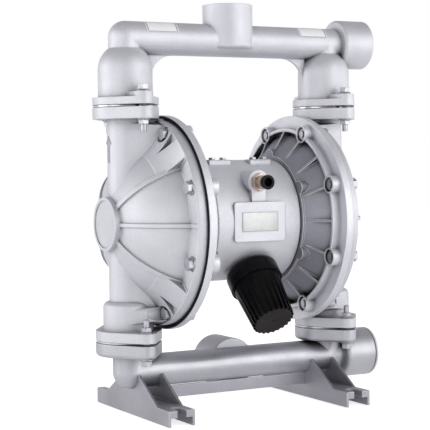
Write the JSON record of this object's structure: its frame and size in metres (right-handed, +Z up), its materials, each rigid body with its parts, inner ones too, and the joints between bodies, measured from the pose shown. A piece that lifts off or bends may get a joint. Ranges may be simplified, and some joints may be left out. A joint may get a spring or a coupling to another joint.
{
  "type": "air operated diaphragm pump",
  "caption": "Air operated diaphragm pump in cast metal: manifolds above and below, domed fluid caps bolted to ribbed air chambers, exhaust muffler, slotted channel feet.",
  "frame": {"origin": "on the floor under the pump's centre, midway between the two chambers and in the plane of the manifold legs", "axes": "+X along the diaphragm shaft towards the end ports, +Y to the rear, +Z up along the outlet port"},
  "size_m": [0.4371, 0.295, 0.565],
  "materials": {
    "cast_metal": "shot blast casting, satin silver grey",
    "foot_metal": "silver paint on sheet steel",
    "plated_fasteners": "bright zinc plate",
    "bright_steel": "ground stainless steel",
    "seat_metal": "turned stainless steel",
    "plug_metal": "grey cast plug, silver paint",
    "black_rubber": "moulded black rubber",
    "ball_rubber": "smooth moulded rubber",
    "black_plastic": "moulded black plastic, low sheen",
    "nickel_brass": "nickel plated brass",
    "bronze_bush": "plain bearing bronze",
    "bare_plate": "bare sheet aluminium"
  },
  "bodies": {
    "pump_housing": {"outlet_manifold": "cast_metal", "inlet_manifold": "cast_metal", "centre_body": "cast_metal", "valve_block": "cast_metal", "pilot_covers": "cast_metal", "valve_end_caps": "cast_metal", "left_fluid_cap": "cast_metal", "left_air_chamber": "cast_metal", "right_fluid_cap": "cast_metal", "right_air_chamber": "cast_metal", "left_foot": "foot_metal", "right_foot": "foot_metal", "foot_rail": "foot_metal", "valve_screws": "plated_fasteners", "pilot_cover_screws": "plated_fasteners", "chamber_screws": "plated_fasteners", "outlet_joint_bolts": "plated_fasteners", "outlet_joint_nuts": "plated_fasteners", "inlet_joint_bolts": "plated_fasteners", "inlet_joint_nuts": "plated_fasteners", "left_clamp_bolts": "plated_fasteners", "left_clamp_nuts": "plated_fasteners", "right_clamp_bolts": "plated_fasteners", "right_clamp_nuts": "plated_fasteners", "left_diaphragm": "black_rubber", "right_diaphragm": "black_rubber", "left_body_gasket": "black_rubber", "right_body_gasket": "black_rubber", "valve_gasket": "black_rubber", "shaft_seals": "black_rubber", "outlet_seat_gaskets": "black_rubber", "inlet_seat_gaskets": "black_rubber", "inlet_plug_gasket": "black_rubber", "left_outlet_seat": "seat_metal", "left_inlet_seat": "seat_metal", "right_outlet_seat": "seat_metal", "right_inlet_seat": "seat_metal", "muffler_cap": "black_plastic", "muffler_cage": "black_plastic", "air_inlet_fitting": "nickel_brass", "shaft_bushes": "bronze_bush", "pilot_bushes": "bronze_bush", "name_plate": "bare_plate", "outlet_plug": "plug_metal", "inlet_plug": "plug_metal"},
    "shaft_and_plates": {"diaphragm_shaft": "bright_steel", "plate_screws": "plated_fasteners", "left_inner_plate": "bright_steel", "right_inner_plate": "bright_steel", "left_outer_plate": "bright_steel", "right_outer_plate": "bright_steel"},
    "pilot_rod": {"pilot_rod": "bright_steel"},
    "valve_spool": {"valve_spool": "bright_steel"},
    "release_collar": {"release_collar": "black_plastic"},
    "left_outlet_ball": {"left_outlet_ball": "ball_rubber"},
    "left_inlet_ball": {"left_inlet_ball": "ball_rubber"},
    "right_outlet_ball": {"right_outlet_ball": "ball_rubber"},
    "right_inlet_ball": {"right_inlet_ball": "ball_rubber"}
  },
  "joints": [
    {"name": "shaft_stroke", "type": "slide", "parent": "pump_housing", "child": "shaft_and_plates", "axis": [1, 0, 0], "range_m": [-0.018, 0.018], "deforming": ["left_diaphragm", "right_diaphragm"]},
    {"name": "pilot_rod_shift", "type": "slide", "parent": "pump_housing", "child": "pilot_rod", "axis": [1, 0, 0], "range_m": [-0.0036, 0.0036]},
    {"name": "spool_shift", "type": "slide", "parent": "pump_housing", "child": "valve_spool", "axis": [1, 0, 0], "range_m": [-0.008, 0.008]},
    {"name": "collar_press", "type": "slide", "parent": "pump_housing", "child": "release_collar", "axis": [0, 1, 0], "range_m": [0, 0.0015]},
    {"name": "left_outlet_ball_lift", "type": "slide", "parent": "pump_housing", "child": "left_outlet_ball", "axis": [0, 0, 1], "range_m": [0, 0.014]},
    {"name": "left_inlet_ball_lift", "type": "slide", "parent": "pump_housing", "child": "left_inlet_ball", "axis": [0, 0, 1], "range_m": [0, 0.014]},
    {"name": "right_outlet_ball_lift", "type": "slide", "parent": "pump_housing", "child": "right_outlet_ball", "axis": [0, 0, 1], "range_m": [0, 0.014]},
    {"name": "right_inlet_ball_lift", "type": "slide", "parent": "pump_housing", "child": "right_inlet_ball", "axis": [0, 0, 1], "range_m": [0, 0.014]}
  ],
  "couplings": [
    {"joint": "pilot_rod_shift", "follows": "shaft_stroke", "ratio": 0.2}
  ]
}
